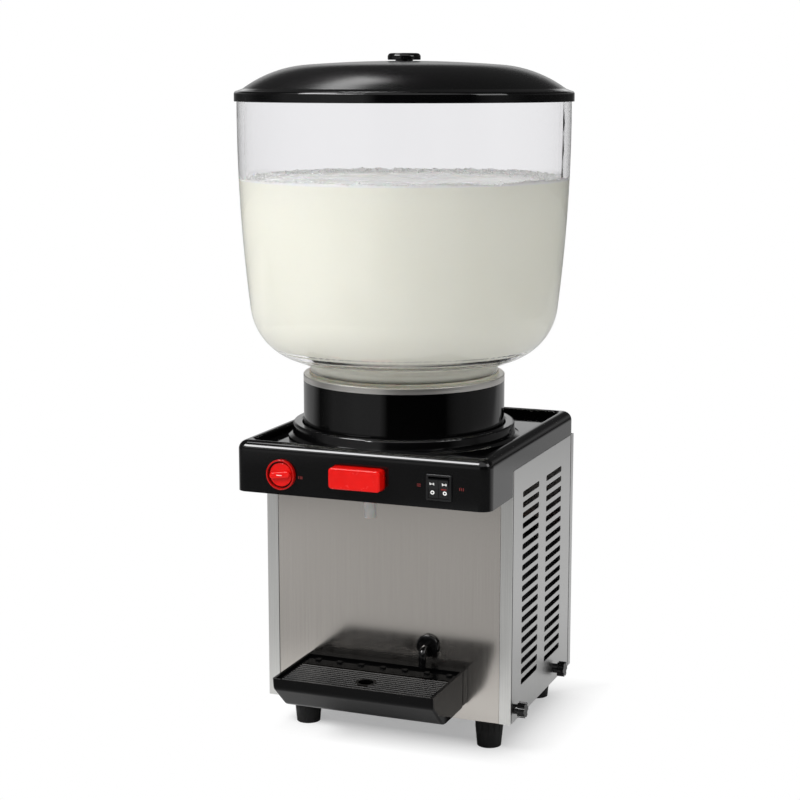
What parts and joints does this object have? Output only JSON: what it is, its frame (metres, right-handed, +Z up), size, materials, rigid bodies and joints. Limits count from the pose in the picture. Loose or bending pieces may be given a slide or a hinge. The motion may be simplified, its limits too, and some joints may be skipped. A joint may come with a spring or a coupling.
{
  "type": "cold drink dispenser",
  "caption": "Counter-top cold drink dispenser with a clear lidded bowl on a cooled pot, a steel cabinet with louvred sides, a push-button outlet and a drip tray.",
  "frame": {"origin": "on the floor under the middle of the whole object's box", "axes": "+Z up, the front with the controls and the drip tray faces -Y, +X to the right"},
  "size_m": [0.35, 0.358, 0.7232],
  "materials": {
    "front_steel": "brushed stainless steel",
    "side_steel": "fine brushed stainless steel",
    "plated_steel": "zinc plated sheet",
    "pot_steel": "turned stainless steel",
    "bright_steel": "bright steel",
    "black_gloss": "polished black moulding",
    "black_sleeve": "satin black moulding",
    "black_moulded": "fine-textured black moulding",
    "black_switch": "black moulding",
    "black_fittings": "glossy black moulding",
    "black_tray": "semi-gloss black moulding",
    "red_controls": "glossy red moulding",
    "clear_bowl": "clear polycarbonate",
    "amber_gasket": "amber silicone",
    "white_hose": "translucent silicone",
    "white_nylon": "white nylon",
    "black_rubber": "black rubber",
    "copper": "drawn copper",
    "foam": "insulating foam",
    "magnet": "sintered ferrite",
    "motor_case": "plated motor case",
    "compressor_paint": "black paint",
    "black_fins": "black painted fins",
    "grey_fan": "moulded fan"
  },
  "bodies": {
    "cabinet": {"front_panel": "front_steel", "front_post_right": "front_steel", "front_post_left": "front_steel", "side_panel_right": "side_steel", "side_panel_left": "side_steel", "rear_panel": "side_steel", "base_tray": "plated_steel", "deck_plate": "plated_steel", "fan_shroud": "plated_steel", "fan_strap": "plated_steel", "anvil_bracket": "plated_steel", "evaporator_pot": "pot_steel", "rear_screws": "bright_steel", "button_spring": "bright_steel", "rocker_pin": "bright_steel", "top_cover": "black_gloss", "pot_sleeve": "black_sleeve", "underside_plate": "black_moulded", "cord_gland": "black_moulded", "thermostat": "black_moulded", "switch_housing": "black_switch", "drain_elbow": "black_fittings", "drain_flange": "black_fittings", "tray_hanger": "black_tray", "knob_bezel": "red_controls", "bowl_gasket": "amber_gasket", "outlet_hose": "white_hose", "foot_front_right": "black_rubber", "foot_front_left": "black_rubber", "foot_rear_right": "black_rubber", "foot_rear_left": "black_rubber", "compressor_mounts": "black_rubber", "evaporator_coil": "copper", "suction_line": "copper", "discharge_line": "copper", "foam_jacket": "foam", "mixer_motor": "motor_case", "fan_motor": "motor_case", "compressor": "compressor_paint", "condenser": "black_fins"},
    "bowl_body": {"bowl": "clear_bowl"},
    "lid_body": {"lid": "black_gloss", "lid_knob": "black_gloss", "lid_nut": "bright_steel"},
    "tray_body": {"drip_tray": "black_tray"},
    "grid_body": {"drip_grid": "black_tray"},
    "button_body": {"dispense_button": "red_controls", "pinch_yoke": "white_nylon"},
    "dial_body": {"thermostat_knob": "red_controls", "dial_shaft": "bright_steel"},
    "rocker_left_body": {"rocker_left": "black_switch"},
    "rocker_right_body": {"rocker_right": "black_switch"},
    "magnet_body": {"drive_magnet": "magnet"},
    "impeller_body": {"impeller": "white_nylon"},
    "fan_body": {"fan": "grey_fan"},
    "star_knob_front_body": {"star_knob_front": "black_fittings"},
    "star_knob_rear_body": {"star_knob_rear": "black_fittings"}
  },
  "joints": [
    {"name": "bowl_lift", "type": "slide", "parent": "cabinet", "child": "bowl_body", "axis": [0, 0, 1], "range_m": [0, 0.15]},
    {"name": "lid_lift", "type": "slide", "parent": "bowl_body", "child": "lid_body", "axis": [0, 0, 1], "range_m": [0, 0.12]},
    {"name": "tray_pull", "type": "slide", "parent": "cabinet", "child": "tray_body", "axis": [0, -1, 0], "range_m": [0, 0.09]},
    {"name": "grid_lift", "type": "slide", "parent": "tray_body", "child": "grid_body", "axis": [0, 0, 1], "range_m": [0, 0.06]},
    {"name": "button_press", "type": "slide", "parent": "cabinet", "child": "button_body", "axis": [0, 1, 0], "range_m": [0, 0.008], "stiffness_N_per_m": 900, "springref_m": -0.006, "deforming": ["button_spring"]},
    {"name": "thermostat_turn", "type": "hinge", "parent": "cabinet", "child": "dial_body", "pos_m": [-0.0856, -0.129, 0.2996], "axis": [0, 1, 0], "range_deg": [0, 270]},
    {"name": "rocker_left_tilt", "type": "hinge", "parent": "cabinet", "child": "rocker_left_body", "pos_m": [0.0804, -0.125, 0.2996], "axis": [1, 0, 0], "range_deg": [-18, 0]},
    {"name": "rocker_right_tilt", "type": "hinge", "parent": "cabinet", "child": "rocker_right_body", "pos_m": [0.0912, -0.125, 0.2996], "axis": [1, 0, 0], "range_deg": [-18, 0]},
    {"name": "magnet_spin", "type": "hinge", "parent": "cabinet", "child": "magnet_body", "pos_m": [0, -0.004, 0.31], "axis": [0, 0, 1], "continuous": true},
    {"name": "impeller_spin", "type": "hinge", "parent": "cabinet", "child": "impeller_body", "pos_m": [0, -0.004, 0.325], "axis": [0, 0, 1], "continuous": true},
    {"name": "fan_spin", "type": "hinge", "parent": "cabinet", "child": "fan_body", "pos_m": [0.082, 0.048, 0.1265], "axis": [1, 0, 0], "continuous": true},
    {"name": "star_knob_front_turn", "type": "hinge", "parent": "cabinet", "child": "star_knob_front_body", "pos_m": [0.1381, -0.0428, 0.0495], "axis": [1, 0, 0], "continuous": true},
    {"name": "star_knob_rear_turn", "type": "hinge", "parent": "cabinet", "child": "star_knob_rear_body", "pos_m": [0.1381, 0.102, 0.0495], "axis": [1, 0, 0], "continuous": true}
  ],
  "couplings": [
    {"joint": "impeller_spin", "follows": "magnet_spin", "ratio": 1}
  ]
}
